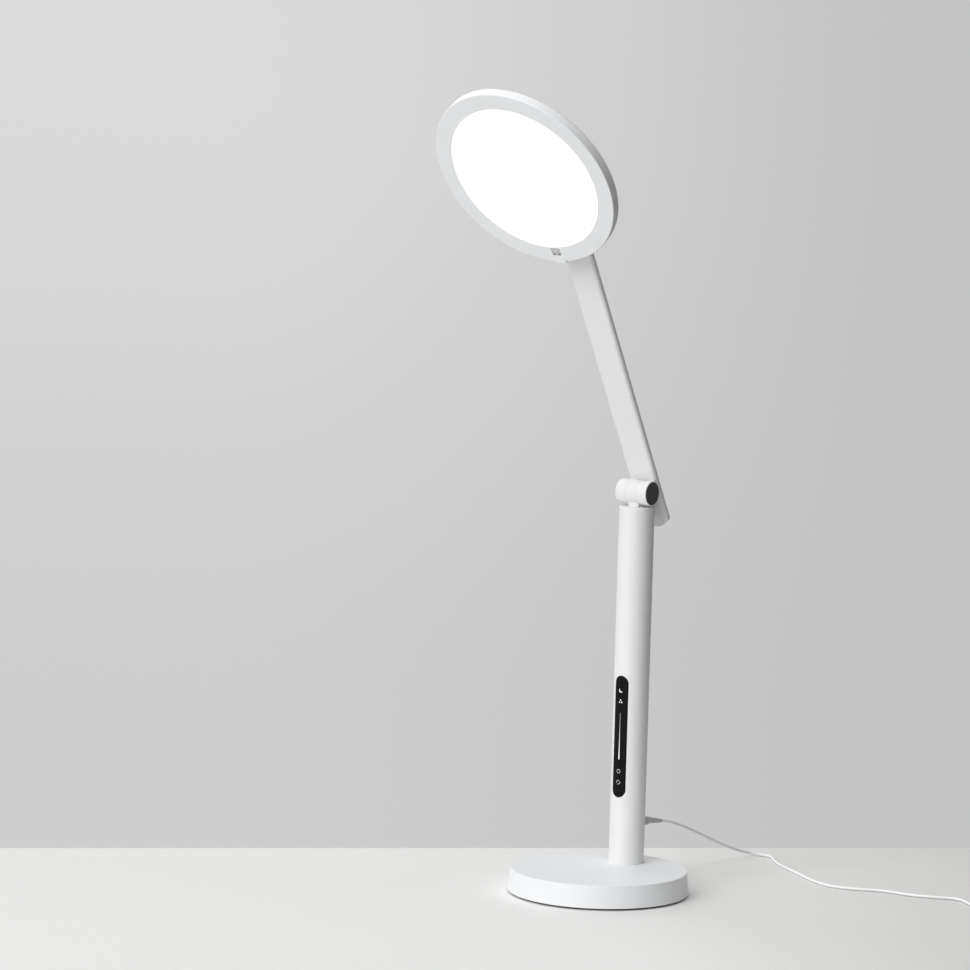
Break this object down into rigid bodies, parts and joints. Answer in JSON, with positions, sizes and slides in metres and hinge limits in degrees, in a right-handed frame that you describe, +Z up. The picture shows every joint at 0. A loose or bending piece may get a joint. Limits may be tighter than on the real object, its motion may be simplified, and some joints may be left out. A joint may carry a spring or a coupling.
{
  "type": "light therapy lamp",
  "caption": "Desk lamp with a round light panel on a flat arm hinged to a pole with a touch control strip, on a round weighted base with a supply cord.",
  "frame": {"origin": "middle of the round foot pad's underside, on the table", "axes": "+Z up, the light panel faces -Y, +X is to the right of someone who sits in front of the panel"},
  "size_m": [0.5079, 0.5504, 0.7953],
  "materials": {
    "white_paint": "satin",
    "white_plastic": "satin",
    "white_cord": "satin",
    "black_panel": "gloss",
    "smoked_window": "gloss",
    "diffuser": "matt, lit from behind",
    "light_guide": "clear acrylic",
    "reflector": "matt",
    "foot_rubber": "matt",
    "zinc_steel": "zinc plated",
    "dark_steel": "black oxide",
    "iron": "as cast",
    "aluminium": "plain sheet",
    "nylon": "matt",
    "dark_plastic": "gloss",
    "board": "solder mask",
    "light_board": "white mask and phosphor",
    "wire": "matt",
    "brass": "bare"
  },
  "bodies": {
    "stand": {"foot_pad": "foot_rubber", "base_plate": "zinc_steel", "base_screws": "zinc_steel", "base_weight": "iron", "base_shell": "white_plastic", "pole_flange": "aluminium", "flange_bolts": "zinc_steel", "tube_screws": "zinc_steel", "pole_tube": "white_paint", "control_window": "black_panel", "board_carrier": "nylon", "control_board": "board", "dc_socket": "dark_plastic", "pole_wires": "wire", "pole_cap": "white_plastic", "lower_knuckle": "white_paint", "lower_tenon_nut": "zinc_steel", "dc_plug": "white_plastic", "plug_boot": "white_cord", "cord_lead": "white_cord", "cord_coil": "white_cord", "cord_tail": "white_cord", "adapter_body": "white_plastic", "adapter_blades": "brass"},
    "arm": {"lower_barrel_left": "white_paint", "lower_barrel_right": "white_paint", "lower_axle": "zinc_steel", "lower_friction_washers": "nylon", "lower_spring_washer": "zinc_steel", "lower_axle_nut": "zinc_steel", "lower_end_caps": "dark_plastic", "lower_arm_screws": "dark_steel", "upper_barrel_left": "white_paint", "upper_barrel_right": "white_paint", "upper_axle": "zinc_steel", "upper_friction_washers": "nylon", "upper_spring_washer": "zinc_steel", "upper_axle_nut": "zinc_steel", "upper_end_caps": "dark_plastic", "upper_arm_screws": "dark_steel", "arm_tube": "white_paint", "arm_end_lower": "white_plastic", "arm_end_upper": "white_plastic", "arm_loom": "wire"},
    "head": {"upper_knuckle": "white_paint", "upper_tenon_nut": "zinc_steel", "head_bezel": "white_plastic", "sensor_window": "smoked_window", "grip_tab": "white_plastic", "diffuser": "diffuser", "light_guide": "light_guide", "reflector_sheet": "reflector", "heat_plate": "aluminium", "light_strip": "light_board", "head_back_cover": "white_plastic", "head_screws": "zinc_steel", "hub_cover": "white_plastic", "hub_screws": "zinc_steel", "driver_board": "board"}
  },
  "joints": [
    {"name": "arm_hinge", "type": "hinge", "parent": "stand", "child": "arm", "pos_m": [0, 0.047, 0.3985], "axis": [1, 0, 0], "range_deg": [-9, 90]},
    {"name": "head_tilt", "type": "hinge", "parent": "arm", "child": "head", "pos_m": [0, -0.13021, 0.72899], "axis": [1, 0, 0], "range_deg": [-65, 10]}
  ]
}
